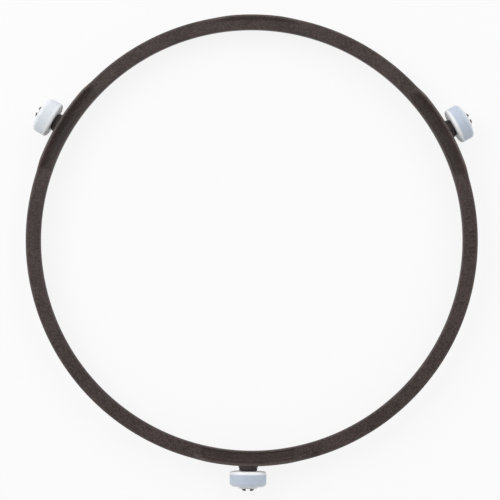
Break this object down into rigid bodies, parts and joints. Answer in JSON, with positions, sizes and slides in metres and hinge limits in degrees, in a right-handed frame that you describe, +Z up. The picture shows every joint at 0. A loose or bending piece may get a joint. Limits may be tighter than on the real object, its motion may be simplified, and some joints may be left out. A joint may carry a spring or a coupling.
{
  "type": "microwave roller ring",
  "caption": "Moulded plastic ring with white rollers snapped on radial axles, which carries a microwave oven's glass tray and turns with it.",
  "frame": {"origin": "on the ring's axis, on the floor that the rollers stand on", "axes": "+Z up along the ring's axis; the front roller lies on -Y; +X to the right seen from above with the front roller at the bottom"},
  "size_m": [0.198, 0.2088, 0.016],
  "materials": {
    "ring_plastic": "dark brown moulded plastic, fine satin grain",
    "roller_plastic": "cool white moulded plastic, satin"
  },
  "bodies": {
    "ring": {"support_ring": "ring_plastic"},
    "front_roller": {"front_roller": "roller_plastic"},
    "right_roller": {"right_roller": "roller_plastic"},
    "left_roller": {"left_roller": "roller_plastic"}
  },
  "joints": [
    {"name": "front_roller_spin", "type": "hinge", "parent": "ring", "child": "front_roller", "pos_m": [0, -0.10465, 0.008], "axis": [0, -1, 0], "continuous": true},
    {"name": "right_roller_spin", "type": "hinge", "parent": "ring", "child": "right_roller", "pos_m": [0.09063, 0.05233, 0.008], "axis": [0.866, 0.5, 0], "continuous": true},
    {"name": "left_roller_spin", "type": "hinge", "parent": "ring", "child": "left_roller", "pos_m": [-0.09063, 0.05233, 0.008], "axis": [-0.866, 0.5, 0], "continuous": true}
  ]
}
